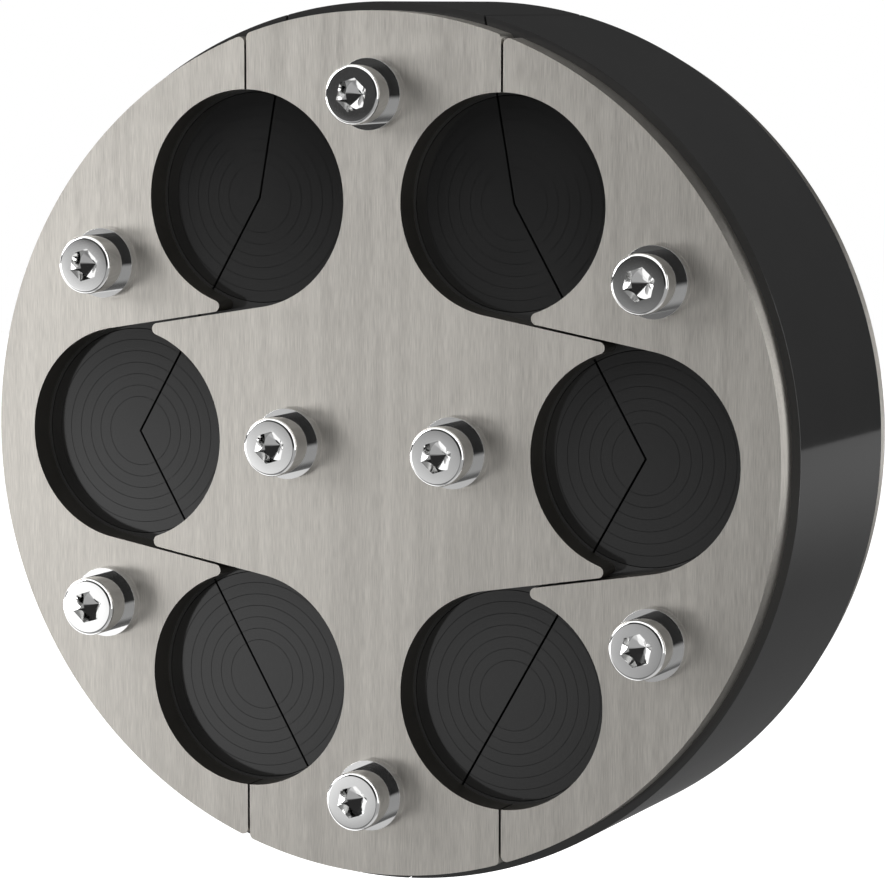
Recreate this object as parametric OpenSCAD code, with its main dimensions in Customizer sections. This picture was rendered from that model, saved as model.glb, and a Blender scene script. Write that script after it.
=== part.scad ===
// Round split cable seal for a core-drilled wall hole. Bolted stainless plates squeeze
// three rubber segments, which then grip the wall and up to six cables.
// The axis runs along Y, the front looks towards -Y, and the origin is the middle of the rubber.

/* [Rubber body] */
// Diameter of the rubber, a little under the wall hole
rubber_d = 149; // [142:0.5:165]
// Width of the rubber along the axis
rubber_w = 40; // [30:1:60]
// Bevel of the rubber's outer edges
rubber_bevel = 0.5; // [0.2:0.1:1.5]
// Gap of the cuts that part the three rubber segments
split_gap = 0.4; // [0.2:0.1:1]
// Lean of the upper cuts towards the middle, in degrees
split_lean = 10; // [0:1:15]

/* [Plates] */
// Thickness of every pressure plate
plate_t = 5; // [3:0.5:6]
// How far the plates stay inside the rubber's edge
plate_set_in = 1.5; // [1:0.25:4]
// Gap between neighbouring plates
plate_gap = 0.4; // [0.2:0.1:1]
// Rounding of the plates' rim corners and finger tips
plate_corner_r = 1; // [0.5:0.1:1.5]

/* [Cable entries] */
// Diameter of the entry holes in the plates
entry_d = 37; // [32:0.5:40]
// Plate left between an entry hole and the rim
entry_edge = 6.9; // [5:0.1:8]

/* [Ring cores] */
// How far the ring core stays inside the entry hole's edge
core_set_in = 0.5; // [0.25:0.25:1.5]
// Fit of the ring core in its seat, on the radius
core_fit = 0.1; // [0.05:0.05:0.3]
// Diameter of the solid middle of a ring core
core_plug_d = 12; // [8:1:16]
// Thickness of each ring that can be taken out
ring_step = 2; // [1.5:0.25:3]
// Width of the line between two rings
ring_line_w = 0.16; // [0.1:0.02:0.4]
// Depth of the line between two rings
ring_line_depth = 0.1; // [0.05:0.01:0.3]

/* [Screws] */
// Screw diameter
screw_d = 6; // [5:0.5:7]
// Plate left between the outer screws' axes and the rim
screw_edge = 13.8; // [11:0.1:15]
// Distance between the two screws in the middle
middle_pitch = 31; // [24:0.5:36]
// Diameter of the screw head
head_d = 10; // [9:0.5:12]
// Height of the screw head
head_h = 6; // [4:0.5:8]
// Rounding of the screw head's edge
head_edge_r = 0.6; // [0.2:0.1:1]
// Size of the hexagon socket across its flats
socket_af = 5; // [3:0.5:6]
// Depth of the hexagon socket's walls
socket_depth = 3; // [2:0.25:3.5]
// Turn of the hexagon socket, in degrees
socket_turn = 17.5; // [0:0.5:60]
// How far the screw tip passes the nut
tip_out = 3.4; // [1:0.2:8]
// Bevel of the screw tip
tip_bevel = 0.8; // [0.4:0.1:1.2]
// Screw hole in the plates, clearance on the diameter
plate_hole_play = 0.6; // [0.2:0.1:1]
// Screw hole in the rubber, clearance on the diameter
rubber_hole_play = 1; // [0.5:0.1:2]

/* [Washers and nuts] */
// Outer diameter of the washers
washer_d = 12; // [11:0.5:14]
// Thickness of the washers
washer_t = 1.6; // [1:0.1:2.5]
// Washer hole, clearance on the diameter
washer_play = 0.4; // [0.2:0.1:1]
// Bevel of the washer's edges
washer_bevel = 0.2; // [0.1:0.05:0.4]
// Size of the nuts across their flats
nut_af = 10; // [9:0.5:13]
// Height of the nuts
nut_h = 5; // [4:0.5:7]
// Nut thread, clearance on the diameter
nut_play = 0.1; // [0.05:0.05:0.3]
// Slope of the nut's corner bevel, in degrees
nut_bevel_slope = 30; // [15:1:40]

/* [Hidden] */
$fn = 96;

steel = "#b9b5ae";
bright_steel = "#d9d9d9";
black_rubber = "#2b2b2c";
core_rubber = "#363637";

// Overlap that keeps cuts clean
eps = 0.1;
hex_sides = 6;

rubber_r = rubber_d / 2;
plate_r = rubber_r - plate_set_in;
entry_r = entry_d / 2;
core_r = entry_r - core_set_in;

// Entries stand on a circle, one every 60 degrees
entry_step = 60;
entry_circle_r = plate_r - entry_edge - entry_r;
entry_spots = [for (k = [0:5]) entry_at(k * entry_step)];
function entry_at(turn) = entry_circle_r * [cos(turn), sin(turn)];

// Screws stand between the entries, with two more in the middle
screw_circle_r = plate_r - screw_edge;
screw_spots = concat(
    [for (k = [0:5]) screw_circle_r * [cos((k + 0.5) * entry_step), sin((k + 0.5) * entry_step)]],
    [for (side = [-1, 1]) [side * middle_pitch / 2, 0]]
);

// Distances from the front plates' face, counted backwards
rubber_front = plate_t;
rear_plate_front = plate_t + rubber_w;
nut_front = 2 * plate_t + rubber_w;
screw_len = washer_t + nut_front + nut_h + tip_out;
front_y = -rubber_w / 2 - plate_t;

// Points mirrored across the middle of the plate
function flip_x(points) = [for (p = points) [-p[0], p[1]]];
function flip_z(points) = [for (p = points) [p[0], -p[1]]];
function all_four(points) = [points, flip_x(points), flip_z(points), flip_x(flip_z(points))];

// Left and upper left entries: the slot between them is the line that touches both holes
left_entry = entry_at(180);
upper_entry = entry_at(120);
slot_tilt = entry_step - asin((entry_r - plate_gap / 2) / (entry_circle_r / 2));
along = [cos(slot_tilt), sin(slot_tilt)];
across = [-sin(slot_tilt), cos(slot_tilt)];
slot_x = entry_circle_r / 2;
far = 2 * rubber_r;

// Corners to round are given as [centre, start, sharp corner, end]
tip_drop = entry_r - plate_gap - plate_corner_r;
tip_centre = upper_entry - tip_drop * across
    - sqrt(pow(entry_r + plate_corner_r, 2) - pow(tip_drop, 2)) * along;
side_tip = [
    tip_centre,
    tip_centre - plate_corner_r * across,
    upper_entry - (entry_r - plate_gap) * across,
    upper_entry + (tip_centre - upper_entry) * entry_r / (entry_r + plate_corner_r)
];
// The middle plate's finger is the side plate's finger turned half round
middle_tip = [for (p = side_tip) left_entry + upper_entry - p];

// Rounding of a rim corner beside a slot: edge is the slot's wall, into points into the plate
function rim_corner(edge, into) =
    let (
        x = edge + into * plate_corner_r,
        inner_r = plate_r - plate_corner_r,
        centre = [x, sqrt(inner_r * inner_r - x * x)]
    )
    [centre, [edge, centre[1]], [edge, plate_r], centre * plate_r / inner_r];

side_edge = -slot_x - plate_gap / 2;
middle_edge = -slot_x + plate_gap / 2;
side_rim = rim_corner(side_edge, -1);
middle_rim = rim_corner(middle_edge, 1);

// Upper half of the line that parts the left plate from the middle one, from the rim down
side_border = [
    [side_edge, far],
    [side_edge, upper_entry[1]],
    upper_entry - (entry_r - plate_gap) * across,
    left_entry + entry_r * across,
    left_entry
];
middle_border = [
    [middle_edge, far],
    [middle_edge, upper_entry[1]],
    upper_entry - entry_r * across,
    left_entry + (entry_r - plate_gap) * across,
    left_entry
];
function reversed(points) = [for (i = [len(points) - 1:-1:0]) points[i]];

// Cut between the left and the middle rubber segment, from the top down
split_path = [
    upper_entry + far * [sin(split_lean), cos(split_lean)],
    upper_entry,
    left_entry,
    entry_at(240),
    left_entry + far * [cos(entry_step), -sin(entry_step)]
];

// Stands a flat drawing up in the XZ plane, its face at a distance behind the plates' front
module slab(behind, thickness) {
    translate([0, front_y + behind + thickness, 0])
        rotate([90, 0, 0])
            linear_extrude(thickness)
                children();
}

// Puts a turned piece on each screw axis, its z axis out of the plates' front
module on_screw_axes() {
    for (p = screw_spots)
        translate([p[0], front_y, p[1]])
            rotate([90, 0, 0])
                children();
}

// Rounds sharp corners of a flat drawing
module rounded(corners) {
    difference() {
        children();
        for (c = corners)
            polygon(c);
    }
    for (c = corners)
        translate(c[0])
            circle(plate_corner_r);
}

module entry_holes() {
    for (p = entry_spots)
        translate(p)
            circle(entry_r);
}

module screw_holes(play) {
    for (p = screw_spots)
        translate(p)
            circle(d = screw_d + play);
}

// Outline of the left plate: a C with a finger towards each neighbouring entry
module side_plate_outline() {
    difference() {
        rounded([side_tip, flip_z(side_tip), side_rim, flip_z(side_rim)])
            difference() {
                intersection() {
                    circle(plate_r);
                    polygon(concat(side_border, reversed(flip_z(side_border)), [[-far, -far], [-far, far]]));
                }
                entry_holes();
            }
        screw_holes(plate_hole_play);
    }
}

// Outline of the middle plate: it runs from rim to rim, with two fingers on each side
module middle_plate_outline() {
    half = concat(middle_border, reversed(flip_z(middle_border)));
    difference() {
        rounded(concat(all_four(middle_tip), all_four(middle_rim)))
            difference() {
                intersection() {
                    circle(plate_r);
                    polygon(concat(half, reversed(flip_x(half))));
                }
                entry_holes();
            }
        screw_holes(plate_hole_play);
    }
}

module front_plate_left() {
    color(steel) slab(0, plate_t) side_plate_outline();
}

module front_plate_centre() {
    color(steel) slab(0, plate_t) middle_plate_outline();
}

module front_plate_right() {
    color(steel) slab(0, plate_t) mirror([1, 0]) side_plate_outline();
}

module rear_plate_left() {
    color(steel) slab(rear_plate_front, plate_t) side_plate_outline();
}

module rear_plate_centre() {
    color(steel) slab(rear_plate_front, plate_t) middle_plate_outline();
}

module rear_plate_right() {
    color(steel) slab(rear_plate_front, plate_t) mirror([1, 0]) side_plate_outline();
}

// The cut along the left split path, as a band
module split_band() {
    for (i = [0:len(split_path) - 2]) {
        from = split_path[i];
        run = split_path[i + 1] - from;
        translate(from)
            rotate(atan2(run[1], run[0]))
                translate([0, -split_gap / 2])
                    square([norm(run), split_gap]);
        translate(from)
            circle(d = split_gap);
    }
}

// All that lies left of the left cut
module side_zone() {
    difference() {
        polygon(concat(split_path, [[-far, -far], [-far, far]]));
        split_band();
    }
}

// All that lies between the two cuts
module middle_zone() {
    difference() {
        square(2 * far, center = true);
        for (side = [0, 1])
            mirror([side, 0]) {
                polygon(concat(split_path, [[-far, -far], [-far, far]]));
                split_band();
            }
    }
}

// What the bevel of the rubber's outer edges takes away
module rubber_edge_cutters() {
    for (end = [0, 1])
        translate([0, front_y + rubber_front + end * rubber_w, 0])
            rotate([end == 0 ? 90 : -90, 0, 0])
                rotate_extrude()
                    polygon([
                        [rubber_r - rubber_bevel - eps, eps],
                        [rubber_r + eps, -rubber_bevel - eps],
                        [rubber_r + eps, eps]
                    ]);
}

// One rubber segment: the disc inside a zone, with seats for the ring cores and the screws
module rubber_segment() {
    difference() {
        slab(rubber_front, rubber_w)
            difference() {
                intersection() {
                    circle(rubber_r);
                    children();
                }
                for (p = entry_spots)
                    translate(p)
                        circle(core_r);
                screw_holes(rubber_hole_play);
            }
        rubber_edge_cutters();
    }
}

module rubber_left() {
    color(black_rubber) rubber_segment() side_zone();
}

module rubber_centre() {
    color(black_rubber) rubber_segment() middle_zone();
}

module rubber_right() {
    color(black_rubber) rubber_segment() mirror([1, 0]) side_zone();
}

// Lines that part the rings on both faces of a core
module ring_lines() {
    half_w = ring_line_w / 2;
    for (r = [core_plug_d / 2:ring_step:core_r - ring_step / 2])
        for (z = [0, rubber_w])
            rotate_extrude()
                polygon([
                    [r - half_w, z],
                    [r, z + ring_line_depth],
                    [r + half_w, z],
                    [r, z - ring_line_depth]
                ]);
}

// Half of a ring core: the outer half sits in a side segment, the inner half in the middle one
module ring_core_half(turn, outer) {
    spot = entry_at(turn);
    side = spot[0] < 0 ? 0 : 1;
    color(core_rubber)
        difference() {
            slab(rubber_front, rubber_w)
                intersection() {
                    translate(spot)
                        circle(core_r - core_fit);
                    mirror([side, 0]) {
                        if (outer) side_zone();
                        else middle_zone();
                    }
                }
            translate([spot[0], front_y + rubber_front + rubber_w, spot[1]])
                rotate([90, 0, 0])
                    ring_lines();
        }
}

// Socket head screw that runs through the whole stack
module screw() {
    head_r = head_d / 2;
    socket_r = socket_af / 2 / cos(180 / hex_sides);
    top = washer_t + head_h;
    difference() {
        rotate_extrude() {
            difference() {
                translate([0, washer_t])
                    square([head_r, head_h]);
                translate([head_r - head_edge_r, top - head_edge_r])
                    square(head_edge_r);
            }
            intersection() {
                translate([head_r - head_edge_r, top - head_edge_r])
                    circle(head_edge_r);
                translate([0, washer_t])
                    square([head_r, head_h]);
            }
            polygon([
                [0, washer_t],
                [screw_d / 2, washer_t],
                [screw_d / 2, washer_t - screw_len + tip_bevel],
                [screw_d / 2 - tip_bevel, washer_t - screw_len],
                [0, washer_t - screw_len]
            ]);
        }
        rotate(socket_turn)
            translate([0, 0, top - socket_depth])
                cylinder(r = socket_r, h = socket_depth + eps, $fn = hex_sides);
        translate([0, 0, top - socket_depth - socket_af / 4])
            cylinder(r1 = 0, r2 = socket_af / 2, h = socket_af / 4);
    }
}

module screws() {
    color(bright_steel) on_screw_axes() screw();
}

// Flat washer with bevelled outer edges
module washer() {
    hole_r = (screw_d + washer_play) / 2;
    outer_r = washer_d / 2;
    rotate_extrude()
        polygon([
            [hole_r, 0],
            [outer_r - washer_bevel, 0],
            [outer_r, washer_bevel],
            [outer_r, washer_t - washer_bevel],
            [outer_r - washer_bevel, washer_t],
            [hole_r, washer_t]
        ]);
}

module washers() {
    color(bright_steel) on_screw_axes() washer();
}

// Hexagon nut with bevelled corners on its outer face
module nut() {
    corner_r = nut_af / 2 / cos(180 / hex_sides);
    bevel = (corner_r - nut_af / 2) * tan(nut_bevel_slope);
    translate([0, 0, -nut_front - nut_h])
        difference() {
            intersection() {
                cylinder(r = corner_r, h = nut_h, $fn = hex_sides);
                rotate_extrude()
                    polygon([
                        [0, 0],
                        [nut_af / 2, 0],
                        [corner_r, bevel],
                        [corner_r, nut_h],
                        [0, nut_h]
                    ]);
            }
            translate([0, 0, -eps])
                cylinder(d = screw_d + nut_play, h = nut_h + 2 * eps);
        }
}

module nuts() {
    color(bright_steel) on_screw_axes() nut();
}

front_plate_left();
front_plate_centre();
front_plate_right();
rear_plate_left();
rear_plate_centre();
rear_plate_right();
rubber_left();
rubber_centre();
rubber_right();
ring_core_half(120, true);  // core_top_left_outer
ring_core_half(120, false);  // core_top_left_inner
ring_core_half(60, true);  // core_top_right_outer
ring_core_half(60, false);  // core_top_right_inner
ring_core_half(180, true);  // core_left_outer
ring_core_half(180, false);  // core_left_inner
ring_core_half(0, true);  // core_right_outer
ring_core_half(0, false);  // core_right_inner
ring_core_half(240, true);  // core_bottom_left_outer
ring_core_half(240, false);  // core_bottom_left_inner
ring_core_half(300, true);  // core_bottom_right_outer
ring_core_half(300, false);  // core_bottom_right_inner
screws();
washers();
nuts();
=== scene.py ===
"""Fine meshes, finishes, studio and camera for the round split cable seal."""
import logging
import math
from collections.abc import Callable, Iterator, Sequence
from contextlib import contextmanager
from dataclasses import dataclass, field, replace
from enum import Enum
from functools import cache

import bmesh
import bpy
from mathutils import Matrix, Quaternion, Vector


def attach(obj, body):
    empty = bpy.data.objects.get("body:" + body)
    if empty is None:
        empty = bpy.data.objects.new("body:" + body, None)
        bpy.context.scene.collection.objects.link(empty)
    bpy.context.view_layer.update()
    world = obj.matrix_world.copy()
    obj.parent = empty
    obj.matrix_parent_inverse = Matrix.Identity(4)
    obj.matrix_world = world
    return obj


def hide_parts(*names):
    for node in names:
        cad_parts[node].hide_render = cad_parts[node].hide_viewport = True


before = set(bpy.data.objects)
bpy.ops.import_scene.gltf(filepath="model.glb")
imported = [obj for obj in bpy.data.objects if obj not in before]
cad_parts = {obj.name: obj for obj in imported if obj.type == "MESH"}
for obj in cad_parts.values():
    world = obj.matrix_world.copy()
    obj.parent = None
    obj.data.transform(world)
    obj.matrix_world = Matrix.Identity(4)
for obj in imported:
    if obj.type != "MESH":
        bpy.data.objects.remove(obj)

LOG = logging.getLogger("cable_seal")
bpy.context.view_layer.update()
BODY = "root"
MM = 0.001
CLEAR = 1.0  # how far a cutter reaches past a piece, in millimetres
ORIGIN = Vector((0.0, 0.0))
Colour = tuple[float, float, float, float]
Section = list[tuple[float, float]]  # corners as (radius, y), in millimetres
Span = tuple[float, float]  # where a fade starts and where it ends
Relief = tuple[float, float]  # a bump's strength, and its depth in millimetres


class Side(Enum):
    """Where a plate or a rubber segment lies, seen from the front."""

    LEFT = "left"
    CENTRE = "centre"
    RIGHT = "right"


class End(Enum):
    """Which end of the seal a plate closes; the value is its direction along Y."""

    FRONT = -1
    REAR = 1


class Cut(Enum):
    """What a cutter does to a piece."""

    TAKE_AWAY = "DIFFERENCE"
    KEEP_INSIDE = "INTERSECT"


class Pick(Enum):
    """What is selected in edit mode."""

    CORNERS = "VERT"
    EDGES = "EDGE"
    FACES = "FACE"


def polar(radius: float, turn: float) -> Vector:
    """Gives the flat point at a radius and a turn.

    Args:
        radius: Distance from the axis, in millimetres.
        turn: Angle from +X towards +Z, in degrees.

    Returns:
        The point in the XZ plane.
    """
    return Vector((radius * math.cos(math.radians(turn)), radius * math.sin(math.radians(turn))))


def heading(vector: Vector) -> float:
    """Returns the direction of a flat vector, in degrees from +X."""
    return math.degrees(math.atan2(vector.y, vector.x))


def rounding(centre: tuple[float, float], radius: float, start: int, step: int) -> Section:
    """Gives the corners of a section's rounded edge, a quarter circle.

    Args:
        centre: Its middle as (radius, y), in millimetres.
        radius: Its radius.
        start: Turn at which it starts, in degrees.
        step: Turn from one corner to the next.

    Returns:
        The corners as (radius, y).
    """
    corners = [polar(radius, turn) for turn in range(start, start + 91, step)]
    return [(centre[0] + corner.x, centre[1] + corner.y) for corner in corners]


class Path:
    """A flat outline in the XZ plane, in millimetres, drawn point by point."""

    LONGEST_STEP = 0.6
    WIDEST_STEP = 6.0
    SAME = 1e-4

    def __init__(self) -> None:
        """Starts with no points."""
        self.points: list[Vector] = []

    def to(self, point: Vector) -> "Path":
        """Goes straight to a point, unless the path is already there.

        Args:
            point: Where to go.

        Returns:
            The path.
        """
        if not self.points or (point - self.points[-1]).length > self.SAME:
            self.points.append(point)
        return self

    def arc(self, centre: Vector, radius: float, start: float, end: float) -> "Path":
        """Goes straight to an arc's start and then along it.

        Args:
            centre: Middle of the arc.
            radius: Its radius.
            start: Turn at which it starts, in degrees.
            end: Turn at which it ends; less than start goes clockwise.

        Returns:
            The path.
        """
        sweep = abs(end - start)
        by_length = math.ceil(math.radians(sweep) * radius / self.LONGEST_STEP)
        count = max(by_length, math.ceil(sweep / self.WIDEST_STEP))
        for step in range(count + 1):
            self.to(centre + polar(radius, start + (end - start) * step / count))
        return self

    def with_mirror(self, across_x: bool) -> "Path":
        """Closes the path with its mirror image.

        Args:
            across_x: Mirrors left to right; otherwise top to bottom.

        Returns:
            A new path, first this one and then its image, walked back.
        """
        flip = Vector((-1, 1)) if across_x else Vector((1, -1))
        whole = Path()
        whole.points = self.points + [point * flip for point in reversed(self.points[1:-1])]
        return whole

    def flipped(self) -> "Path":
        """Mirrors the path left to right.

        Returns:
            A new path, walked the other way.
        """
        other = Path()
        other.points = [Vector((-point.x, point.y)) for point in reversed(self.points)]
        return other

    @classmethod
    def hexagon(cls, across_flats: float, turn: float = 0.0) -> "Path":
        """Draws a hexagon about the origin.

        Args:
            across_flats: Distance between opposite sides.
            turn: Turn of its first corner, in degrees.

        Returns:
            The path.
        """
        path = cls()
        for k in range(6):
            path.to(polar(across_flats / 2 / math.cos(math.pi / 6), turn + 60 * k))
        return path


class Bench:
    """Modelling steps, each done with Blender's own operators."""

    MERGE = 0.001

    @staticmethod
    def clear() -> None:
        """Leaves edit mode and deselects everything."""
        if bpy.context.mode != "OBJECT":
            bpy.ops.object.mode_set(mode="OBJECT")
        bpy.ops.object.select_all(action="DESELECT")

    @staticmethod
    def focus(piece: bpy.types.Object) -> None:
        """Makes a piece the only one selected, and active.

        Args:
            piece: The piece.
        """
        Bench.clear()
        piece.select_set(True)
        bpy.context.view_layer.objects.active = piece

    @staticmethod
    @contextmanager
    def editing(piece: bpy.types.Object, pick: Pick = Pick.EDGES) -> Iterator[None]:
        """Holds a piece in edit mode with nothing selected.

        Args:
            piece: The piece to edit.
            pick: What can be selected.
        """
        Bench.focus(piece)
        bpy.ops.object.mode_set(mode="EDIT")
        bpy.ops.mesh.select_mode(type=pick.value)
        bpy.ops.mesh.select_all(action="DESELECT")
        yield
        bpy.ops.object.mode_set(mode="OBJECT")

    @staticmethod
    def ring(name: str, points: Sequence[Vector], filled: bool) -> bpy.types.Object:
        """Adds a circle and moves its corners onto points.

        Args:
            name: The piece's name.
            points: Its corners in order, in millimetres.
            filled: Whether a face closes it.

        Returns:
            The new piece.
        """
        Bench.clear()
        bpy.ops.mesh.primitive_circle_add(vertices=len(points), fill_type="NGON" if filled else "NOTHING")
        piece = bpy.context.object
        piece.name = piece.data.name = name
        for corner, point in zip(piece.data.vertices, points):
            corner.co = point * MM
        return piece

    @staticmethod
    def slab(name: str, path: Path, near: float, far: float) -> bpy.types.Object:
        """Makes a flat piece with an outline.

        Args:
            name: The piece's name.
            path: Its outline.
            near: Y of its front face, in millimetres.
            far: Y of its rear face.

        Returns:
            The new piece.
        """
        piece = Bench.ring(name, [Vector((point.x, near, point.y)) for point in path.points], filled=True)
        with Bench.editing(piece, Pick.FACES):
            bpy.ops.mesh.select_all(action="SELECT")
            bpy.ops.mesh.extrude_region_move(TRANSFORM_OT_translate={"value": (0, (far - near) * MM, 0)})
            bpy.ops.mesh.select_all(action="SELECT")
            bpy.ops.mesh.normals_make_consistent(inside=False)
        return piece

    @staticmethod
    def lathe(name: str, profile: Section, steps: int) -> bpy.types.Object:
        """Turns a closed profile about the Y axis.

        Args:
            name: The piece's name.
            profile: Its corners as (radius, y), in millimetres.
            steps: How many facets the turn has.

        Returns:
            The new piece.
        """
        piece = Bench.ring(name, [Vector((radius, y, 0)) for radius, y in profile], filled=False)
        with Bench.editing(piece, Pick.CORNERS):
            bpy.ops.mesh.select_all(action="SELECT")
            bpy.ops.mesh.spin(steps=steps, angle=math.tau, center=(0, 0, 0), axis=(0, 1, 0))
            bpy.ops.mesh.select_all(action="SELECT")
            bpy.ops.mesh.remove_doubles(threshold=Bench.MERGE * MM)
            bpy.ops.mesh.select_all(action="SELECT")
            bpy.ops.mesh.delete_loose(use_verts=True, use_edges=True, use_faces=False)
            bpy.ops.mesh.select_all(action="SELECT")
            bpy.ops.mesh.normals_make_consistent(inside=False)
        return piece

    @staticmethod
    def bevel(
        piece: bpy.types.Object, width: float, segments: int, wanted: Callable[[Vector, Vector], bool]
    ) -> None:
        """Bevels some of a piece's edges.

        Args:
            piece: The piece.
            width: How far the bevel reaches, in millimetres.
            segments: How many faces it has.
            wanted: Tells from an edge's two ends, in millimetres, whether it is bevelled.
        """
        with Bench.editing(piece):
            shape = bmesh.from_edit_mesh(piece.data)
            for edge in shape.edges:
                edge.select_set(wanted(edge.verts[0].co / MM, edge.verts[1].co / MM))
            bmesh.update_edit_mesh(piece.data)
            bpy.ops.mesh.bevel(offset=width * MM, segments=segments, affect="EDGES", clamp_overlap=True)

    @staticmethod
    def cut(piece: bpy.types.Object, cutter: bpy.types.Object, how: Cut = Cut.TAKE_AWAY) -> None:
        """Cuts a piece with another, which is used up.

        Args:
            piece: The piece to cut.
            cutter: The piece that cuts it.
            how: Whether the cutter takes away or keeps.
        """
        Bench.focus(piece)
        bpy.ops.object.modifier_add(type="BOOLEAN")
        step = piece.modifiers[-1]
        step.operation = how.value
        step.solver = "EXACT"
        step.object = cutter
        bpy.ops.object.modifier_apply(modifier=step.name)
        bpy.data.objects.remove(cutter, do_unlink=True)

    @staticmethod
    def join(pieces: Sequence[bpy.types.Object]) -> bpy.types.Object:
        """Joins pieces into the first of them.

        Args:
            pieces: The pieces, of which all but the first are used up.

        Returns:
            The first piece.
        """
        Bench.focus(pieces[0])
        for piece in pieces:
            piece.select_set(True)
        bpy.ops.object.join()
        return pieces[0]

    @staticmethod
    def moved_copy(piece: bpy.types.Object, name: str, spot: Vector) -> bpy.types.Object:
        """Copies a turned piece, with its own mesh, to another axis.

        Args:
            piece: The piece to copy, which stays on the Y axis.
            name: The copy's name.
            spot: Where the copy's axis crosses the XZ plane, in millimetres.

        Returns:
            The copy.
        """
        Bench.focus(piece)
        bpy.ops.object.duplicate(linked=False)
        copy = bpy.context.object
        copy.name = copy.data.name = name
        copy.data.transform(Matrix.Translation((spot.x * MM, 0, spot.y * MM)))
        return copy

    @staticmethod
    def smooth(piece: bpy.types.Object, angle: float) -> None:
        """Shades a piece smooth, with its flats left flat.

        Args:
            piece: The piece.
            angle: Turn across an edge, in degrees, from which the edge stays sharp.
        """
        Bench.focus(piece)
        bpy.ops.object.shade_smooth_by_angle(angle=math.radians(angle))
        bpy.ops.object.modifier_add(type="WEIGHTED_NORMAL")
        piece.modifiers[-1].keep_sharp = True
        bpy.ops.object.modifier_apply(modifier=piece.modifiers[-1].name)


class Value:
    """One number in a material, with arithmetic that adds Math nodes."""

    def __init__(self, graph: "Graph", socket: bpy.types.NodeSocket) -> None:
        """Wraps a node's output.

        Args:
            graph: The nodes it belongs to.
            socket: The output.
        """
        self.graph = graph
        self.socket = socket

    def _math(self, operation: str, first: "Value | float", second: "Value | float") -> "Value":
        """Adds a Math node on two values, and returns its result."""
        node = self.graph.node("ShaderNodeMath", {"operation": operation}, {0: first, 1: second})
        return Value(self.graph, node.outputs[0])

    def __add__(self, other: "Value | float") -> "Value":
        """Adds."""
        return self._math("ADD", self, other)

    def __radd__(self, other: float) -> "Value":
        """Adds to a number."""
        return self._math("ADD", other, self)

    def __sub__(self, other: "Value | float") -> "Value":
        """Subtracts."""
        return self._math("SUBTRACT", self, other)

    def __rsub__(self, other: float) -> "Value":
        """Subtracts from a number."""
        return self._math("SUBTRACT", other, self)

    def __mul__(self, other: "Value | float") -> "Value":
        """Multiplies."""
        return self._math("MULTIPLY", self, other)

    def __rmul__(self, other: float) -> "Value":
        """Multiplies a number."""
        return self._math("MULTIPLY", other, self)

    def __rtruediv__(self, other: float) -> "Value":
        """Divides a number."""
        return self._math("DIVIDE", other, self)

    def __pow__(self, other: float) -> "Value":
        """Raises to a power."""
        return self._math("POWER", self, other)

    def __abs__(self) -> "Value":
        """Drops the sign."""
        return self._math("ABSOLUTE", self, 0.0)

    def turn(self, other: "Value") -> "Value":
        """Returns the turn, in degrees, of a point this far to the side and another value ahead."""
        return self._math("ARCTAN2", self, other) * math.degrees(1)

    def either(self, other: "Value") -> "Value":
        """Returns the larger of two values."""
        return self._math("MAXIMUM", self, other)


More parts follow.
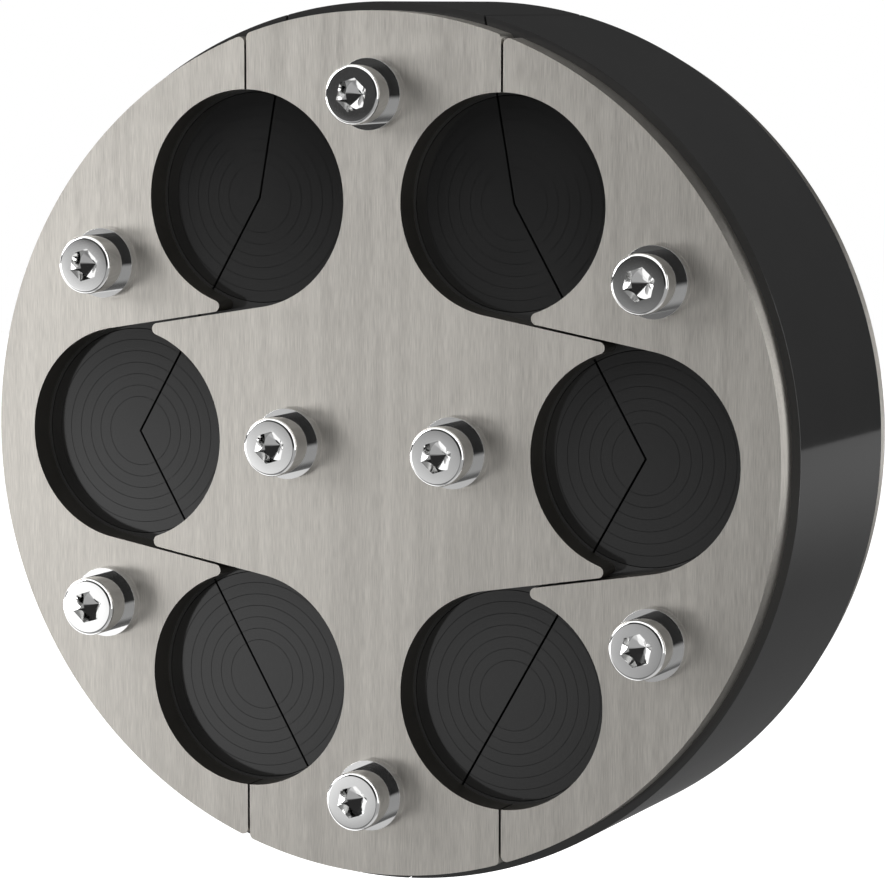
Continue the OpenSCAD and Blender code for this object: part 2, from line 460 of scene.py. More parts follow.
class Graph:
    """Builds the nodes of one material or world."""

    def __init__(self, tree: bpy.types.NodeTree) -> None:
        """Empties a node tree.

        Args:
            tree: The tree to fill.
        """
        self.tree = tree
        tree.nodes.clear()

    @classmethod
    def of_material(cls, name: str) -> tuple[bpy.types.Material, "Graph"]:
        """Makes an empty material, whose glow is never sampled as a lamp.

        Args:
            name: The material's name.

        Returns:
            The material and its nodes.
        """
        material = bpy.data.materials.new(name)
        material.use_nodes = True
        material.cycles.emission_sampling = "NONE"
        return material, cls(material.node_tree)

    def node(self, kind: str, settings: dict | None = None, inputs: dict | None = None) -> bpy.types.Node:
        """Adds a node.

        Args:
            kind: The node's type.
            settings: What to set on the node itself, before its inputs.
            inputs: Values or links of its inputs, by name or number.

        Returns:
            The node.
        """
        node = self.tree.nodes.new(kind)
        for key, setting in (settings or {}).items():
            setattr(node, key, setting)
        for key, value in (inputs or {}).items():
            socket = node.inputs[key]
            if isinstance(value, Value):
                self.tree.links.new(value.socket, socket)
            else:
                socket.default_value = value
        return node

    def value(
        self, kind: str, settings: dict | None = None, inputs: dict | None = None, output: str | int = 0
    ) -> Value:
        """Adds a node, and returns one of its outputs, by name or number."""
        return Value(self, self.node(kind, settings, inputs).outputs[output])

    def place(self) -> Value:
        """Returns the place on the object."""
        return self.value("ShaderNodeTexCoord", output="Object")

    def parts(self, vector: Value) -> tuple[Value, Value, Value]:
        """Returns a vector's X, Y and Z."""
        split = self.node("ShaderNodeSeparateXYZ", None, {"Vector": vector})
        return tuple(Value(self, output) for output in split.outputs)

    def noise(
        self, place: Value, per_metre: tuple[float, float, float], detail: float, rough: float = 0.5
    ) -> Value:
        """Adds noise.

        Args:
            place: Where it is read.
            per_metre: How many lumps it has in a metre along X, Y and Z.
            detail: How many finer layers it has.
            rough: How strong they are.

        Returns:
            Its strength, from 0 to 1.
        """
        scaled = self.value("ShaderNodeMapping", None, {"Vector": place, "Scale": per_metre})
        inputs = {"Vector": scaled, "Scale": 1.0, "Detail": detail, "Roughness": rough}
        return self.value("ShaderNodeTexNoise", None, inputs)

    def blend(self, amount: Value, low: Colour | Value, high: Colour | Value) -> Value:
        """Mixes two colours by an amount from 0 to 1, and returns the mix."""
        inputs = {"Factor": amount, 6: low, 7: high}
        return self.value("ShaderNodeMix", {"data_type": "RGBA"}, inputs, output=2)

    def fade(self, value: Value, start: float, end: float, low: float, high: float) -> Value:
        """Maps a value smoothly from one range to another.

        Args:
            value: What is mapped.
            start: The value at which the result is low.
            end: The value at which the result is high.
            low: The result up to start.
            high: The result from end on.

        Returns:
            The mapped value.
        """
        inputs = {"Value": value, "From Min": start, "From Max": end, "To Min": low, "To Max": high}
        return self.value("ShaderNodeMapRange", {"interpolation_type": "SMOOTHSTEP"}, inputs)

    def bump(self, height: Value, strength: float, depth: float) -> Value:
        """Adds a bump of a depth in millimetres, and returns its normal."""
        inputs = {"Height": height, "Strength": strength, "Distance": depth * MM}
        return self.value("ShaderNodeBump", None, inputs, output="Normal")

    def surface(self, inputs: dict) -> None:
        """Ends a material with the standard surface.

        Args:
            inputs: Values or links of the surface's inputs.
        """
        shader = self.value("ShaderNodeBsdfPrincipled", None, inputs)
        self.node("ShaderNodeOutputMaterial", None, {"Surface": shader})


@dataclass(frozen=True)
class BrushedSteel:
    """Stainless sheet brushed from top to bottom, with painted shade darkening the walls of the holes and slots
    inside its rim.
    """

    slot: str = "brushed_plate"
    dark: Colour = (0.521, 0.498, 0.462, 1)
    light: Colour = (0.697, 0.667, 0.617, 1)
    # Painted shade: a darker colour on the hole and slot walls, standing in for the dark rubber they reflect and
    # the shade inside the holes.
    painted_wall_shade: Colour = (0.250, 0.237, 0.215, 1)
    cut_within: float = 72.0
    cut_fade: float = 1.0
    wall_facing: Span = (0.3, 0.8)
    roughness: float = 0.34
    roughness_swing: float = 0.16
    across: float = 6800.0
    along: float = 260.0
    band_width: float = 14.0
    band_length: float = 12.0
    hair_share: float = 0.7
    clouds: tuple[float, float, float] = (40.0, 40.0, 12.0)
    contrast: float = 3.6
    relief: Relief = (0.25, 0.02)

    @cache
    def material(self) -> bpy.types.Material:
        """Makes the material, at first use.

        Returns:
            The material.
        """
        material, graph = Graph.of_material("brushed_steel")
        place = graph.place()
        hairs = graph.noise(place, (self.across, self.across, self.along), detail=2.0, rough=0.6)
        wide, tall = self.across / self.band_width, self.along / self.band_length
        bands = graph.noise(place, (wide, wide, tall), detail=2.0)
        cloud = graph.noise(place, self.clouds, detail=1.0)
        streak = hairs * self.hair_share + bands * (1 - self.hair_share)
        brushed = graph.blend((streak - 0.5) * self.contrast + cloud, self.dark, self.light)
        x, _, z = graph.parts(place)
        _, facing, _ = graph.parts(graph.value("ShaderNodeNewGeometry", output="Normal"))
        # Mask for the painted shade: the walls of the holes and slots, inside the rim.
        is_wall = graph.fade(abs(facing), *self.wall_facing, 1, 0)
        limit = self.cut_within * MM
        inside_rim = graph.fade((x * x + z * z) ** 0.5, limit - self.cut_fade * MM, limit, 1, 0)
        graph.surface({
            "Base Color": graph.blend(is_wall * inside_rim, brushed, self.painted_wall_shade),
            "Metallic": 1.0,
            "Roughness": self.roughness + (streak - 0.5) * self.roughness_swing,
            "Normal": graph.bump(hairs, *self.relief),
        })
        return material


@dataclass(frozen=True)
class PolishedSteel:
    """Bright stainless of the screws, washers and nuts."""

    slot: str = "polished_fastener"
    dark: Colour = (0.70, 0.70, 0.697, 1)
    light: Colour = (0.75, 0.75, 0.747, 1)
    roughness: float = 0.05
    haze: float = 260.0
    haze_roughness: float = 0.03
    specks: float = 2600.0
    speck_roughness: float = 0.02
    relief: Relief = (0.04, 0.004)

    @cache
    def material(self) -> bpy.types.Material:
        """Makes the material, at first use.

        Returns:
            The material.
        """
        material, graph = Graph.of_material("polished_steel")
        place = graph.place()
        haze = graph.noise(place, (self.haze,) * 3, detail=3.0)
        specks = graph.noise(place, (self.specks,) * 3, detail=2.0)
        graph.surface({
            "Base Color": graph.blend(haze, self.dark, self.light),
            "Metallic": 1.0,
            "Roughness": self.roughness + haze * self.haze_roughness + (specks - 0.5) * self.speck_roughness,
            "Normal": graph.bump(specks, *self.relief),
        })
        return material


@dataclass(frozen=True)
class MouldedRubber:
    """Smooth black rubber with the shine of a polished mould."""

    slot: str
    dark: Colour
    light: Colour
    roughness: float
    clouds: float = 60.0
    cloud_roughness: float = 0.05
    skin: float = 900.0
    skin_roughness: float = 0.03
    relief: Relief = (0.03, 0.01)
    ior: float = 1.5

    @cache
    def material(self) -> bpy.types.Material:
        """Makes the material, at first use.

        Returns:
            The material.
        """
        material, graph = Graph.of_material(self.slot)
        place = graph.place()
        cloud = graph.noise(place, (self.clouds,) * 3, detail=3.0)
        skin = graph.noise(place, (self.skin,) * 3, detail=2.0)
        uneven = (cloud - 0.5) * self.cloud_roughness + (skin - 0.5) * self.skin_roughness
        graph.surface({
            "Base Color": graph.blend(cloud, self.dark, self.light),
            "Metallic": 0.0,
            "Roughness": self.roughness + uneven,
            "IOR": self.ior,
            "Normal": graph.bump(skin, *self.relief),
        })
        return material


Finish = BrushedSteel | PolishedSteel | MouldedRubber
PLATE_STEEL = BrushedSteel()
FASTENER_STEEL = PolishedSteel()
BODY_RUBBER = MouldedRubber("body_rubber", (0.023, 0.023, 0.023, 1), (0.028, 0.028, 0.028, 1), 0.07)
# The cores' rubber is a darker copy of the body's: painted shade for their faces, which sit recessed in the plate
# holes and get less light.
SHADED_CORE_RUBBER = MouldedRubber("core_rubber", (0.012, 0.012, 0.012, 1), (0.015, 0.015, 0.015, 1), 0.10)


def hand_over(piece: bpy.types.Object, finish: Finish, node: str) -> None:
    """Dresses a finished piece and puts it in place of a CAD node.

    Args:
        piece: The piece.
        finish: What it is made of.
        node: The node that it stands for.
    """
    piece.data.materials.clear()
    piece.data.materials.append(finish.material())
    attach(piece, BODY)
    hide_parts(node)
    LOG.info("%s: %d faces, for %s", piece.name, len(piece.data.polygons), node)


@dataclass(frozen=True)
class Layout:
    """Where entries, screws and the rubber's cuts lie, and how thick the layers are, in millimetres."""

    rubber_w: float = 40.0
    plate_t: float = 5.0
    entry_circle_r: float = 47.6
    screw_circle_r: float = 59.2
    middle_pitch: float = 31.0
    split_gap: float = 0.4
    split_lean: float = 10.0

    @property
    def face(self) -> float:
        """Y of the rear plates' outer face; the front plates' is its negative."""
        return self.rubber_w / 2 + self.plate_t

    def entry(self, turn: float) -> Vector:
        """Returns the middle of the entry at a turn in degrees."""
        return polar(self.entry_circle_r, turn)

    def screws(self) -> dict[str, Vector]:
        """Gives the screws' axes.

        Returns:
            Where each axis crosses the XZ plane, by the name of its place.
        """
        places = ("upper_right", "top", "upper_left", "lower_left", "bottom", "lower_right")
        spots = {place: polar(self.screw_circle_r, 30 + 60 * k) for k, place in enumerate(places)}
        spots["middle_left"] = Vector((-self.middle_pitch / 2, 0))
        spots["middle_right"] = Vector((self.middle_pitch / 2, 0))
        return spots

    def drills(self, diameter: float) -> bpy.types.Object:
        """Makes a cutter for all the screw holes.

        Args:
            diameter: Their diameter.

        Returns:
            The cutter.
        """
        reach = self.face + CLEAR
        circle = Path().arc(ORIGIN, diameter / 2, 0, 360)
        circle.points.pop()
        drill = Bench.slab("drill", circle, -reach, reach)
        drills = [Bench.moved_copy(drill, "drill", spot) for spot in self.screws().values()]
        bpy.data.objects.remove(drill, do_unlink=True)
        return Bench.join(drills)


LAYOUT = Layout()


def left_centre_right(left: Path, middle: Path) -> dict[Side, Path]:
    """Returns the outlines of three pieces side by side, of which the right one mirrors the left."""
    return {Side.LEFT: left, Side.CENTRE: middle, Side.RIGHT: left.flipped()}


def at_every_screw(fastener: bpy.types.Object, name: str, node: str) -> None:
    """Puts a copy of a fastener on every screw's axis, and hands the copies over.

    Args:
        fastener: The fastener on the Y axis, which is used up.
        name: What the copies' names start with.
        node: The node that they stand for.
    """
    for place, spot in LAYOUT.screws().items():
        hand_over(Bench.moved_copy(fastener, f"{name}_{place}", spot), FASTENER_STEEL, node)
    bpy.data.objects.remove(fastener, do_unlink=True)


@dataclass(frozen=True)
class PressurePlates:
    """The laser-cut steel plates at the front and the rear."""

    plate_r: float = 73.0
    rear_r: float = 73.45
    gap: float = 0.4
    corner_r: float = 1.0
    entry_r: float = 18.5
    hole_d: float = 6.6
    smooth_under: float = 25.0
    left: Vector = field(default_factory=lambda: LAYOUT.entry(180))
    upper: Vector = field(default_factory=lambda: LAYOUT.entry(120))

    @property
    def tilt(self) -> float:
        """Slope of the slot between the left and the upper left entry, in degrees."""
        half = LAYOUT.entry_circle_r / 2
        return 60 - math.degrees(math.asin((self.entry_r - self.gap / 2) / half))

    @property
    def slot_turn(self) -> float:
        """Half of a slot's gap, as a turn about an entry's middle in degrees."""
        return math.degrees(math.asin(self.gap / 2 / self.entry_r))

    @property
    def finger_tip(self) -> Vector:
        """Middle of the rounding at the left plate's upper finger tip."""
        drop = self.entry_r - self.gap - self.corner_r
        run = math.sqrt((self.entry_r + self.corner_r) ** 2 - drop**2)
        return self.upper - polar(run, self.tilt) - polar(drop, self.tilt + 90)

    def rim_corner(self, edge: float, into: int) -> Vector:
        """Gives the middle of the rounding where a slot meets the rim.

        Args:
            edge: X of the slot's wall.
            into: -1 if the plate lies left of the wall, 1 if right of it.

        Returns:
            The rounding's middle.
        """
        x = edge + into * self.corner_r
        return Vector((x, math.sqrt((self.plate_r - self.corner_r) ** 2 - x * x)))

    def side_outline(self) -> Path:
        """Draws the left plate.

        Returns:
            Its outline.
        """
        tip = self.finger_tip
        inwards = heading(self.upper - tip)
        rim = self.rim_corner(self.upper.x - self.gap / 2, -1)
        path = Path()
        path.arc(self.left, self.entry_r, 180, 90 + self.tilt)
        path.arc(tip, self.corner_r, self.tilt - 90, inwards)
        path.arc(self.upper, self.entry_r, inwards + 180, 90 + self.slot_turn)
        path.arc(rim, self.corner_r, 0, heading(rim))
        path.arc(ORIGIN, self.plate_r, heading(rim), 180)
        return path.with_mirror(across_x=False)

    def middle_outline(self) -> Path:
        """Draws the middle plate.

        Returns:
            Its outline.
        """
        tip = self.finger_tip
        inwards = heading(self.upper - tip)
        rim = self.rim_corner(self.upper.x + self.gap / 2, 1)
        path = Path()
        path.arc(self.left, self.entry_r, 0, inwards)
        path.arc(self.left + self.upper - tip, self.corner_r, inwards + 180, 90 + self.tilt)
        path.arc(self.upper, self.entry_r, self.tilt - 90, 90 - self.slot_turn)
        path.arc(rim, self.corner_r, 180, heading(rim))
        path.arc(ORIGIN, self.plate_r, heading(rim), 90)
        upper_half = Path()
        upper_half.points = path.points + path.flipped().points[1:]
        return upper_half.with_mirror(across_x=False)

    def build(self) -> None:
        """Makes all six plates and dresses them."""
        for end in End:
            near, far = sorted((end.value * LAYOUT.rubber_w / 2, end.value * LAYOUT.face))
            plates = self if end is End.FRONT else replace(self, plate_r=self.rear_r)
            outlines = left_centre_right(plates.side_outline(), plates.middle_outline())
            for place, outline in outlines.items():
                name = f"{end.name.lower()}_plate_{place.value}"
                plate = Bench.slab(f"pressure_{name}", outline, near, far)
                Bench.cut(plate, LAYOUT.drills(self.hole_d))
                Bench.smooth(plate, self.smooth_under)
                hand_over(plate, PLATE_STEEL, name)


@dataclass(frozen=True)
class RubberBody:
    """The three moulded rubber segments, parted by cuts from core to core, and a leaning one at the top."""

    rubber_r: float = 74.5
    core_r: float = 18.0
    hole_d: float = 7.0
    edge_r: float = 0.05
    edge_segments: int = 2
    smooth_under: float = 30.0

    def rim_turn(self, core: Vector, turn: float, side: int) -> float:
        """Finds where a cut's wall meets the rim.

        Args:
            core: Middle of the core that the cut starts from.
            turn: Direction of the cut, in degrees.
            side: 1 for the wall left of that direction, -1 for the wall right of it.

        Returns:
            The turn of the meeting point about the seal's axis, in degrees.
        """
        start = core + side * polar(LAYOUT.split_gap / 2, turn + 90)
        run = polar(1, turn)
        reach = start.dot(run)
        length = -reach + math.sqrt(reach**2 - start.length_squared + self.rubber_r**2)
        return heading(start + run * length)

    @property
    def wall(self) -> float:
        """Half of a cut's gap, as a turn about a core's middle in degrees."""
        return math.degrees(math.asin(LAYOUT.split_gap / 2 / self.core_r))

    def side_outline(self) -> Path:
        """Draws the left segment.

        Returns:
            Its outline.
        """
        upper, left, lower = (LAYOUT.entry(turn) for turn in (120, 180, 240))
        up = 90 - LAYOUT.split_lean
        path = Path()
        path.arc(upper, self.core_r, up + self.wall, 240 - self.wall)
        path.arc(left, self.core_r, 60 + self.wall, 300 - self.wall)
        path.arc(lower, self.core_r, 120 + self.wall, 300 - self.wall)
        path.arc(ORIGIN, self.rubber_r, self.rim_turn(lower, -60, -1) % 360, self.rim_turn(upper, up, 1))
        return path

    def middle_outline(self) -> Path:
        """Draws the middle segment.

        Returns:
            Its outline.
        """
        upper, left, lower = (LAYOUT.entry(turn) for turn in (120, 180, 240))
        up = 90 - LAYOUT.split_lean
        path = Path()
        path.arc(ORIGIN, self.rubber_r, 90, self.rim_turn(upper, up, -1))
        path.arc(upper, self.core_r, up - self.wall, -120 + self.wall)
        path.arc(left, self.core_r, 60 - self.wall, -60 + self.wall)
        path.arc(lower, self.core_r, 120 - self.wall, -60 + self.wall)
        path.arc(ORIGIN, self.rubber_r, self.rim_turn(lower, -60, 1) % 360, 270)
        return path.with_mirror(across_x=True)

    def build(self) -> None:
        """Makes the three segments and dresses them."""
        half = LAYOUT.rubber_w / 2
        for place, outline in left_centre_right(self.side_outline(), self.middle_outline()).items():
            name = f"rubber_{place.value}"
            segment = Bench.slab(f"{name}_segment", outline, -half, half)
            Bench.bevel(segment, self.edge_r, self.edge_segments, self.on_outer_edge)
            Bench.cut(segment, LAYOUT.drills(self.hole_d))
            Bench.smooth(segment, self.smooth_under)
            hand_over(segment, BODY_RUBBER, name)

    def on_outer_edge(self, a: Vector, b: Vector) -> bool:
        """Tells whether an edge, given by its two ends, runs round the outside of an end face."""
        near_rim = min(Vector((p.x, p.z)).length for p in (a, b)) > self.rubber_r - Path.SAME
        return near_rim and abs(a.y - b.y) < Path.SAME


@dataclass(frozen=True)
class RingCores:
    """The six cores of thin rings, each in two halves."""

    core_r: float = 17.9
    plug_r: float = 6.0
    ring_step: float = 2.0
    line_w: float = 0.08
    line_depth: float = 0.065
    edge: float = 0.03
    saw_past: float = 0.6
    steps: int = 120
    smooth_under: float = 25.0

    def profile(self) -> Section:
        """Draws half the core's section, with a line between each two rings.

        Returns:
            Its corners.
        """
        half = LAYOUT.rubber_w / 2
        front: Section = [(0, -half)]
        radius = self.plug_r
        while radius < self.core_r - self.ring_step / 2:
            front += [
                (radius - self.line_w / 2, -half),
                (radius, -half + self.line_depth),
                (radius + self.line_w / 2, -half),
            ]
            radius += self.ring_step
        front += [(self.core_r - self.edge, -half), (self.core_r, -half + self.edge)]
        return front + [(r, -y) for r, y in reversed(front)]

    def cuts(self, turn: float) -> tuple[float, ...]:
        """Gives the directions of the cuts from the middle of a left-hand core.

        Args:
            turn: The core's place on the entry circle, in degrees.

        Returns:
            The directions, in degrees; one alone is a straight cut right through.
        """
        return {120.0: (90 - LAYOUT.split_lean, 240.0), 180.0: (60.0, 300.0), 240.0: (300.0,)}[turn]

    def saw(self, turn: float, through: bool) -> bpy.types.Object:
        """Makes a cutter that runs outwards in one direction.

        Args:
            turn: The direction, in degrees.
            through: Whether it starts at the far side of the core; otherwise just behind the axis.

        Returns:
            The cutter.
        """
        half = LAYOUT.split_gap / 2
        reach = self.core_r + CLEAR
        start = -reach if through else -half * self.saw_past
        path = Path()
        for along, across in ((start, -half), (reach, -half), (reach, half), (start, half)):
            path.to(polar(along, turn) + polar(across, turn + 90))
        depth = LAYOUT.rubber_w / 2 + CLEAR
        return Bench.slab("saw", path, -depth, depth)

    def build(self) -> None:
        """Makes the twelve halves and dresses them."""
        blank = Bench.lathe("core_blank", self.profile(), self.steps)
        rows = {120.0: "top", 180.0: "", 240.0: "bottom"}
        for turn, row in rows.items():
            for side in (Side.LEFT, Side.RIGHT):
                mirrored = side is Side.RIGHT
                spot = LAYOUT.entry(180 - turn if mirrored else turn)
                word = "_".join(filter(None, (row, side.value)))
                core = Bench.moved_copy(blank, f"ring_core_{word}", ORIGIN)
                cuts = self.cuts(turn)
                for cut in cuts:
                    Bench.cut(core, self.saw(180 - cut if mirrored else cut, through=len(cuts) == 1))
                self.part(core, word, spot, mirrored)
        bpy.data.objects.remove(blank, do_unlink=True)

    def part(self, core: bpy.types.Object, word: str, spot: Vector, mirrored: bool) -> None:
        """Parts a sawn core into its halves, and puts them in place.

        Args:
            core: The sawn core, on the Y axis.
            word: Name of its place.
            spot: Its place in the seal.
            mirrored: Whether it is on the right.
        """
        with Bench.editing(core):
            bpy.ops.mesh.select_all(action="SELECT")
            bpy.ops.mesh.separate(type="LOOSE")
        halves = sorted(
            bpy.context.selected_objects,
            key=lambda half: sum(corner.co.x for corner in half.data.vertices) / len(half.data.vertices),
            reverse=mirrored,
        )
        for half, which in zip(halves, ("outer", "inner"), strict=True):
            half.name = half.data.name = f"ring_core_{word}_{which}"
            half.data.transform(Matrix.Translation((spot.x * MM, 0, spot.y * MM)))
            Bench.smooth(half, self.smooth_under)
            # The cores take the darker rubber copy, which is painted shade for their recessed faces.
            hand_over(half, SHADED_CORE_RUBBER, f"core_{word}_{which}")


@dataclass(frozen=True)
class CapScrews:
    """Socket head cap screws that draw the plates together."""

    screw_r: float = 3.0
    head_r: float = 5.0
    head_h: float = 6.0
    head_edge_r: float = 0.6
    seat: float = 26.6
    length: float = 60.0
    socket_af: float = 5.0
    socket_depth: float = 3.0
    socket_turn: float = 17.5
    drill_inset: float = 0.02
    drill_lead: float = 0.5
    drill_flat: float = 0.12
    drill_steps: int = 48
    tip_bevel: float = 0.8
    pitch: float = 1.0
    thread_len: float = 24.0
    thread_depth: float = 0.5
    rows_per_pitch: int = 6
    edge_step: int = 15
    steps: int = 64
    smooth_under: float = 20.0

    @property
    def top(self) -> float:
        """Y of the head's flat face."""
        return -self.seat - self.head_h

    @property
    def tip(self) -> float:
        """Y of the shank's end."""
        return self.length - self.seat

    def profile(self) -> Section:
        """Draws half the screw's section, with rows for the thread.

        Returns:
            Its corners.
        """
        edge = self.head_edge_r
        points: Section = [(0, self.top)]
        points += rounding((self.head_r - edge, self.top + edge), edge, -90, self.edge_step)
        points += [(self.head_r, -self.seat), (self.screw_r, -self.seat)]
        rows = round(self.thread_len / self.pitch * self.rows_per_pitch)
        for row in range(rows + 1):
            y = self.tip - self.thread_len * (rows - row) / rows
            points.append((min(self.screw_r, self.screw_r - self.tip_bevel + self.tip - y), y))
        points.append((0, self.tip))
        return points

    def cut_thread(self, screw: bpy.types.Object) -> None:
        """Winds the thread's groove into the shank.

        Args:
            screw: The turned screw, on the Y axis.
        """
        start = self.tip - self.thread_len
        near_axis = self.screw_r / 3
        for corner in screw.data.vertices:
            y = corner.co.y / MM
            across = Vector((corner.co.x, corner.co.z)) / MM
            if y < start - Path.SAME or across.length < near_axis:
                continue
            phase = (y / self.pitch - heading(across) / 360) % 1
            fade = min((y - start) / self.pitch, 1)
            depth = self.thread_depth * (1 - abs(2 * phase - 1)) * fade
            scale = min(across.length, self.screw_r - depth) / across.length
            corner.co.x *= scale
            corner.co.z *= scale

    def cut_socket(self, screw: bpy.types.Object) -> None:
        """Cuts the hexagon socket with its drilled bottom.

        Args:
            screw: The turned screw, on the Y axis.
        """
        hexagon = Path.hexagon(self.socket_af, self.socket_turn)
        floor = self.top + self.socket_depth
        Bench.cut(screw, Bench.slab("key", hexagon, self.top - CLEAR, floor))
        drill_r = self.socket_af / 2
        wall, lead = drill_r - self.drill_inset, floor - self.drill_lead
        point = floor + drill_r / 2 - self.drill_flat / 2
        drill = [(0, lead), (wall, lead), (wall, floor), (self.drill_flat, point), (0, point)]
        Bench.cut(screw, Bench.lathe("drill", drill, self.drill_steps))

    def build(self) -> None:
        """Makes the eight screws and dresses them."""
        screw = Bench.lathe("screw", self.profile(), self.steps)
        self.cut_thread(screw)
        self.cut_socket(screw)
        Bench.smooth(screw, self.smooth_under)
        at_every_screw(screw, "cap_screw", "screws")


@dataclass(frozen=True)
class FlatWashers:
    """Washers under the screw heads."""

    outer_r: float = 6.0
    hole_r: float = 3.2
    thickness: float = 1.6
    edge_r: float = 0.02
    edge_step: int = 30
    steps: int = 72
    smooth_under: float = 35.0

    def build(self) -> None:
        """Makes the eight washers and dresses them."""
        near, far = -LAYOUT.face - self.thickness, -LAYOUT.face
        edge = self.edge_r
        profile: Section = [(self.hole_r, far), (self.hole_r, near)]
        profile += rounding((self.outer_r - edge, near + edge), edge, -90, self.edge_step)
        profile += rounding((self.outer_r - edge, far - edge), edge, 0, self.edge_step)
        washer = Bench.lathe("washer", profile, self.steps)
        Bench.smooth(washer, self.smooth_under)
        at_every_screw(washer, "flat_washer", "washers")


@dataclass(frozen=True)
class HexNuts:
    """Nuts behind the rear plates."""

    af: float = 10.0
    height: float = 5.0
    bore_r: float = 3.05
    bevel_slope: float = 30.0
    mouth: float = 0.35
    corner_over: float = 0.01
    steps: int = 96
    bore_steps: int = 48
    smooth_under: float = 20.0

    def build(self) -> None:
        """Makes the eight nuts and dresses them."""
        flat_r = self.af / 2
        corner_r = flat_r / math.cos(math.pi / 6)
        near, far = LAYOUT.face, LAYOUT.face + self.height
        below, above = near - CLEAR, far + CLEAR
        nut = Bench.slab("nut", Path.hexagon(self.af), near, far)
        shoulder = far - (corner_r - flat_r) * math.tan(math.radians(self.bevel_slope))
        cap = [(0, below), (corner_r + CLEAR, below), (corner_r + self.corner_over, shoulder)]
        cap += [(flat_r, far), (0, far)]
        Bench.cut(nut, Bench.lathe("cap", cap, self.steps), Cut.KEEP_INSIDE)
        wide = self.bore_r + self.mouth
        bore = [(0, below), (self.bore_r, below), (self.bore_r, far - self.mouth)]
        bore += [(wide, far), (wide, above), (0, above)]
        Bench.cut(nut, Bench.lathe("bore", bore, self.bore_steps))
        Bench.smooth(nut, self.smooth_under)
        at_every_screw(nut, "hex_nut", "nuts")


@dataclass(frozen=True)
class Softbox:
    """A soft rectangular lamp that faces the seal; turn 0 is straight in front, more is to the right."""

    name: str
    turn: float
    lift: float
    away: float
    size: tuple[float, float]
    brightness: float

    def build(self) -> None:
        """Hangs the lamp in the studio."""
        data = bpy.data.lights.new(self.name, "AREA")
        data.shape = "RECTANGLE"
        data.size, data.size_y = self.size
        data.energy = self.brightness * math.pi * self.size[0] * self.size[1]
        lamp = bpy.data.objects.new(self.name, data)
        flat = polar(self.away * math.cos(math.radians(self.lift)), self.turn - 90)
        lamp.location = (flat.x, flat.y, self.away * math.sin(math.radians(self.lift)))
        lamp.rotation_euler = (-lamp.location).to_track_quat("-Z", "Y").to_euler()
        lamp.visible_camera = False
        bpy.context.scene.collection.objects.link(lamp)
        LOG.info("%s hung", self.name)


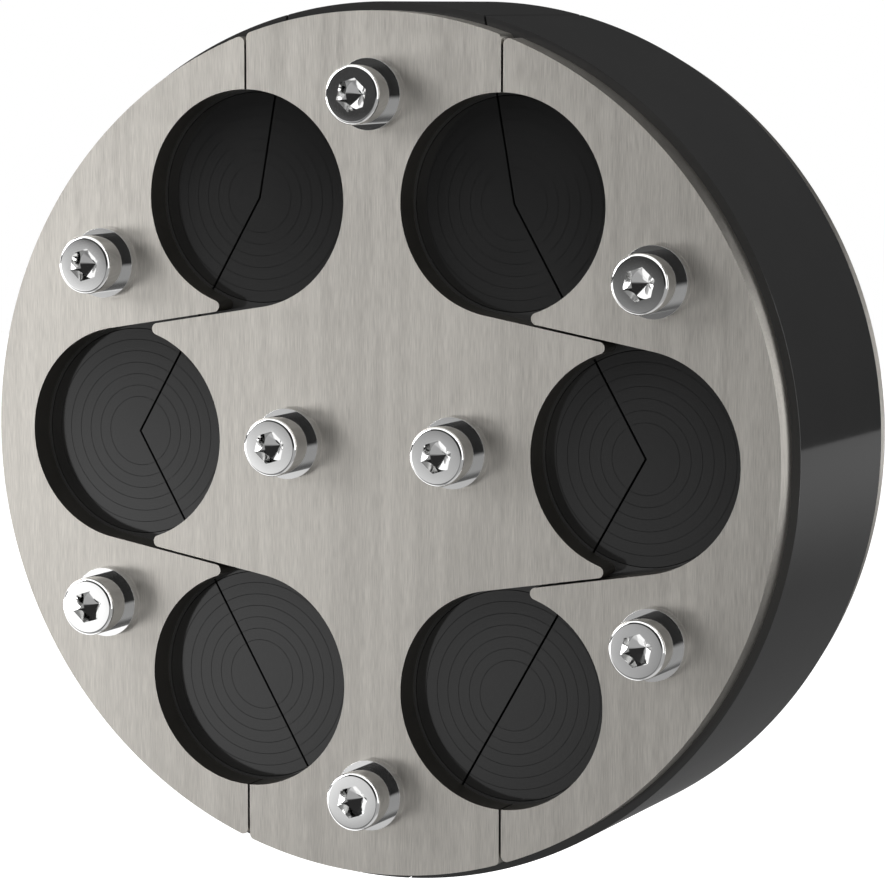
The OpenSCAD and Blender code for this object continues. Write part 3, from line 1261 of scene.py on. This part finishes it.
@dataclass(frozen=True)
class Studio:
    """White floor and surroundings, soft lamps, the camera, and the dark room that the seal mirrors, in metres."""

    floor_z: float = -0.5
    back: float = 5.0
    front: float = -14.0
    side: float = 8.0
    height: float = 4.0
    wall_foot: float = 0.5
    ground_lift: float = 0.01
    paper: Colour = (0.85, 0.85, 0.85, 1)
    paper_glow: float = 0.9
    room_grey: Colour = (0.5, 0.5, 0.5, 1)
    room_light: float = 0.3
    wall_glow: float = 0.03
    corner_glow: float = 0.03
    base_glow: float = 0.145
    under_glow: float = 0.3
    left_glow: float = 1.4
    far_glow: float = 2.1
    right_glow: float = 0.33
    back_glow: float = 0.375
    back_near_glow: float = 0.125
    left_begin: Span = (-145.0, -115.0)
    left_end: Span = (-38.0, -13.0)
    shade_dip: Span = (0.22, 0.34)
    shade_begin: Span = (-75.0, -45.0)
    shade_leaves: float = 0.1
    far_end: Span = (-46.0, -26.0)
    far_rise: Span = (0.02, 0.055)
    far_fall: Span = (0.10, 0.26)
    far_leaves: float = 0.15
    right_begin: Span = (-12.0, 8.0)
    right_end: Span = (105.0, 140.0)
    back_begin: Span = (125.0, 150.0)
    back_fall: Span = (0.12, 0.36)
    under_rise: Span = (0.8, 1.1)
    horizon: Span = (0.015, 0.18)
    corner_x: Span = (-5.0, -1.0)
    corner_y: Span = (-6.0, -1.0)
    camera_place: tuple[float, float, float] = (0.2792, -0.5865, 0.0740)
    azimuth: float = 25.3554
    elevation: float = 6.6140
    roll: float = 0.069
    lens: float = 152.844
    sensor_w: float = 36.0
    lamps: tuple[Softbox, ...] = (
        Softbox("key_softbox", -58.0, 20.0, 2.0, (1.1, 1.0), 8.2),
        Softbox("left_softbox", -105.0, 8.0, 2.0, (1.6, 1.6), 1.3),
        Softbox("overhead_softbox", -12.0, 79.0, 1.6, (3.0, 2.6), 1.7),
        Softbox("right_softbox", 62.0, 18.0, 1.9, (1.5, 2.0), 1.9),
        Softbox("side_softbox", 130.0, 2.0, 2.0, (1.1, 1.4), 3.3),
    )

    def camera(self) -> None:
        """Puts the camera where the photo was taken from."""
        data = bpy.data.cameras.new("camera")
        data.lens = self.lens
        data.sensor_fit = "HORIZONTAL"
        data.sensor_width = self.sensor_w
        data.dof.use_dof = False
        camera = bpy.data.objects.new("camera", data)
        back = polar(math.cos(math.radians(self.elevation)), self.azimuth - 90)
        away = Vector((back.x, back.y, math.sin(math.radians(self.elevation))))
        roll = Quaternion((0, 0, 1), math.radians(self.roll))
        camera.rotation_mode = "QUATERNION"
        camera.rotation_quaternion = (-away).to_track_quat("-Z", "Y") @ roll
        camera.location = self.camera_place
        bpy.context.scene.collection.objects.link(camera)
        bpy.context.scene.camera = camera

    def white_rays(self, graph: Graph) -> Value:
        """Tells which rays see the white surroundings.

        Args:
            graph: The nodes that need to know.

        Returns:
            1 for such rays, otherwise 0.
        """
        rays = graph.node("ShaderNodeLightPath")
        seen = [Value(graph, rays.outputs[f"Is {kind} Ray"]) for kind in ("Camera", "Glossy", "Transmission")]
        return seen[0].either(seen[1]).either(seen[2])

    def surroundings(self) -> None:
        """Makes the world white where it is seen."""
        world = bpy.data.worlds.new("surroundings")
        world.use_nodes = True
        graph = Graph(world.node_tree)
        dim = graph.value("ShaderNodeBackground", None, {"Color": self.room_grey, "Strength": self.room_light})
        white = graph.value("ShaderNodeBackground", None, {"Color": (1, 1, 1, 1), "Strength": 1.0})
        mixed = graph.value("ShaderNodeMixShader", None, {0: self.white_rays(graph), 1: dim, 2: white})
        graph.node("ShaderNodeOutputWorld", None, {"Surface": mixed})
        bpy.context.scene.world = world

    def sheet(self, name: str, height: float) -> bpy.types.Object:
        """Lays a sheet over the whole ground.

        Args:
            name: Its name.
            height: Its Z, in metres.

        Returns:
            The sheet.
        """
        Bench.clear()
        bpy.ops.mesh.primitive_plane_add(size=2.0)
        sheet = bpy.context.object
        sheet.name = name
        for corner in sheet.data.vertices:
            far = self.back if corner.co.y > 0 else self.front
            corner.co = (corner.co.x * self.side, far, height)
        return sheet

    def floor(self) -> None:
        """Lays the white paper floor, which keeps the seal's shadow."""
        floor = self.sheet("studio_floor", self.floor_z)
        material, graph = Graph.of_material("floor_paper")
        paper = graph.value("ShaderNodeBsdfDiffuse", None, {"Color": self.paper})
        glow = self.white_rays(graph) * self.paper_glow
        back_light = graph.value("ShaderNodeEmission", None, {"Strength": glow})
        seen = graph.value("ShaderNodeAddShader", None, {0: paper, 1: back_light})
        graph.node("ShaderNodeOutputMaterial", None, {"Surface": seen})
        floor.data.materials.append(material)

    def mirrored(self, piece: bpy.types.Object, graph: Graph, glow: Value | float) -> None:
        """Lights a part of the room that the camera doesn't see.

        Args:
            piece: The part, which has the material.
            graph: The material's nodes.
            glow: Its brightness.
        """
        light = graph.value("ShaderNodeEmission", None, {"Strength": glow})
        graph.node("ShaderNodeOutputMaterial", None, {"Surface": light})
        piece.visible_camera = False
        piece.visible_shadow = False

    def ground(self) -> None:
        """Spreads the lit ground, with pools of light to the left and right, just above the floor.

        A place on it is told by its turn, in degrees from straight in front, and by its dip, the slope of the line
        down to it from the seal.
        """
        ground = self.sheet("mirrored_ground", self.floor_z + self.ground_lift)
        material, graph = Graph.of_material("ground_light")
        x, y, _ = graph.parts(graph.place())
        turn = x.turn(y * -1)
        dip = -self.floor_z / (x * x + y * y) ** 0.5
        unshaded = graph.fade(turn, *self.shade_begin, 1 - self.shade_leaves, 0)
        shade = graph.fade(dip, *self.shade_dip, 1, self.shade_leaves) + unshaded
        left_side = graph.fade(turn, *self.left_begin, 0, 1) * shade
        left = graph.fade(turn, *self.left_end, self.left_glow, 0) * left_side
        far_band = graph.fade(dip, *self.far_rise, 0, 1) * graph.fade(dip, *self.far_fall, 1, self.far_leaves)
        far_left = graph.fade(turn, *self.far_end, self.far_glow, 0) * left_side * far_band
        right = graph.fade(turn, *self.right_begin, 0, self.right_glow) * graph.fade(turn, *self.right_end, 1, 0)
        behind = graph.fade(abs(turn), *self.back_begin, 0, 1)
        base = (1 - behind) * (graph.fade(dip, *self.under_rise, 0, self.under_glow) + self.base_glow)
        front = (left + right + base) * graph.fade(dip, *self.horizon, 0, 1) + far_left
        glow = front + behind * graph.fade(dip, *self.back_fall, self.back_glow, self.back_near_glow)
        ground.data.materials.append(material)
        self.mirrored(ground, graph, glow)

    def walls(self) -> None:
        """Puts dark walls and a ceiling round the studio."""
        Bench.clear()
        bpy.ops.mesh.primitive_cube_add(size=2.0)
        walls = bpy.context.object
        walls.name = "mirrored_walls"
        for corner in walls.data.vertices:
            far = self.back if corner.co.y > 0 else self.front
            high = self.height if corner.co.z > 0 else self.floor_z - self.wall_foot
            corner.co = (corner.co.x * self.side, far, high)
        material, graph = Graph.of_material("wall_grey")
        x, y, _ = graph.parts(graph.place())
        front_left = graph.fade(x, *self.corner_x, self.corner_glow, 0) * graph.fade(y, *self.corner_y, 1, 0)
        walls.data.materials.append(material)
        self.mirrored(walls, graph, front_left + self.wall_glow)

    def build(self) -> None:
        """Sets up the whole studio."""
        bpy.context.scene.view_settings.view_transform = "Standard"
        self.camera()
        self.surroundings()
        self.floor()
        self.ground()
        self.walls()
        for lamp in self.lamps:
            lamp.build()


def main() -> None:
    """Builds the studio and then the seal, piece by piece."""
    logging.basicConfig(level=logging.INFO, format="%(name)s: %(message)s")
    Studio().build()
    for assembly in (PressurePlates(), RubberBody(), RingCores(), CapScrews(), FlatWashers(), HexNuts()):
        LOG.info("building %s", type(assembly).__name__)
        assembly.build()
    Bench.clear()


if __name__ == "__main__":
    main()
